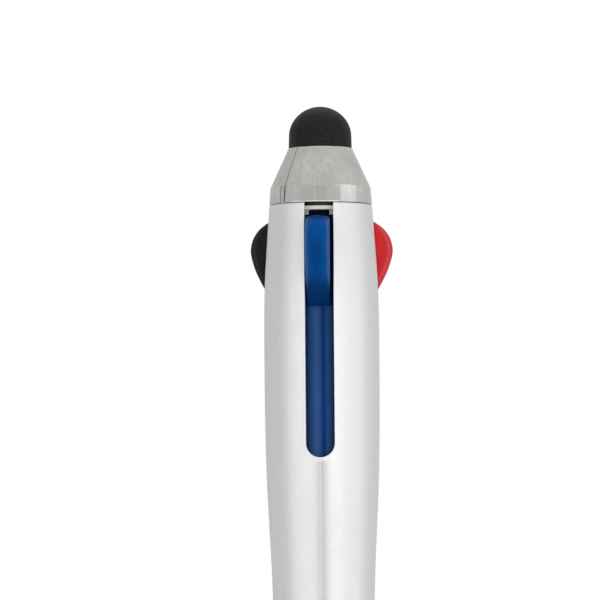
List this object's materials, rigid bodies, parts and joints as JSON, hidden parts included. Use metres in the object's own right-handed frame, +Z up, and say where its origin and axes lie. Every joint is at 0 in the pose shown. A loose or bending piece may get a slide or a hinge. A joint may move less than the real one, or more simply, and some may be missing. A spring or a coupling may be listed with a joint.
{
  "type": "multicolor click pen",
  "caption": "Slim ballpoint pen with a coloured side slider for each ink, a chrome cone and a rubber stylus dome on its top end.",
  "frame": {"origin": "on the pen's axis, at the middle of the plain round stretch of the rubber grip, where a pen holder or loop goes", "axes": "+Z up the pen's axis from the writing end to the stylus, -Y towards the blue slider's slot, +X to the side where the red slider stands out"},
  "size_m": [0.016, 0.0153, 0.143],
  "materials": {
    "silver_plastic": "satin silver lacquer over moulded plastic",
    "chrome_plate": "bright chrome plate",
    "black_rubber": "matte soft rubber",
    "core_plastic": "natural moulded plastic, semi-matte",
    "blue_plastic": "gloss moulded plastic",
    "black_plastic": "gloss moulded plastic",
    "red_plastic": "gloss moulded plastic",
    "spring_steel": "drawn spring wire, plain",
    "tube_plastic": "translucent extruded plastic",
    "ink_blue": "oil-based ink, wet",
    "ink_black": "oil-based ink, wet",
    "ink_red": "oil-based ink, wet",
    "tip_brass": "turned, bright",
    "ball_steel": "polished"
  },
  "bodies": {
    "barrel": {"upper_barrel": "silver_plastic", "top_cone": "chrome_plate", "stylus_tip": "black_rubber", "cap_core": "core_plastic", "spring_seat": "core_plastic", "lower_barrel": "silver_plastic", "center_ring": "chrome_plate", "grip_sleeve": "black_rubber", "nose_cone": "chrome_plate", "return_spring_blue": "spring_steel", "return_spring_red": "spring_steel", "return_spring_black": "spring_steel"},
    "slider_blue": {"slider_blue": "blue_plastic"},
    "refill_blue": {"refill_tube_blue": "tube_plastic", "refill_ink_blue": "ink_blue", "refill_tip_blue": "tip_brass", "refill_ball_blue": "ball_steel"},
    "slider_red": {"slider_red": "red_plastic"},
    "refill_red": {"refill_tube_red": "tube_plastic", "refill_ink_red": "ink_red", "refill_tip_red": "tip_brass", "refill_ball_red": "ball_steel"},
    "slider_black": {"slider_black": "black_plastic"},
    "refill_black": {"refill_tube_black": "tube_plastic", "refill_ink_black": "ink_black", "refill_tip_black": "tip_brass", "refill_ball_black": "ball_steel"}
  },
  "joints": [
    {"name": "slide_blue", "type": "slide", "parent": "barrel", "child": "slider_blue", "axis": [0, 0, -1], "range_m": [0, 0.0155], "stiffness_N_per_m": 170, "springref_m": -0.005, "deforming": ["return_spring_blue", "refill_tube_blue", "refill_ink_blue", "refill_tip_blue", "refill_ball_blue"]},
    {"name": "lean_blue", "type": "hinge", "parent": "slider_blue", "child": "refill_blue", "pos_m": [0, -0.0025, 0.0605], "axis": [1, 0, 0], "range_deg": [0, 1.75]},
    {"name": "slide_red", "type": "slide", "parent": "barrel", "child": "slider_red", "axis": [0, 0, -1], "range_m": [0, 0.0155], "stiffness_N_per_m": 170, "springref_m": -0.005, "deforming": ["return_spring_red", "refill_tube_red", "refill_ink_red", "refill_tip_red", "refill_ball_red"]},
    {"name": "lean_red", "type": "hinge", "parent": "slider_red", "child": "refill_red", "pos_m": [0.00217, 0.00125, 0.0605], "axis": [-0.5, 0.866, 0], "range_deg": [0, 1.75]},
    {"name": "slide_black", "type": "slide", "parent": "barrel", "child": "slider_black", "axis": [0, 0, -1], "range_m": [0, 0.0155], "stiffness_N_per_m": 170, "springref_m": -0.005, "deforming": ["return_spring_black", "refill_tube_black", "refill_ink_black", "refill_tip_black", "refill_ball_black"]},
    {"name": "lean_black", "type": "hinge", "parent": "slider_black", "child": "refill_black", "pos_m": [-0.00217, 0.00125, 0.0605], "axis": [-0.5, -0.866, 0], "range_deg": [0, 1.75]}
  ],
  "couplings": [
    {"joint": "lean_blue", "follows": "slide_blue", "rad_per_m": 1.9427},
    {"joint": "lean_red", "follows": "slide_red", "rad_per_m": 1.9427},
    {"joint": "lean_black", "follows": "slide_black", "rad_per_m": 1.9427}
  ]
}
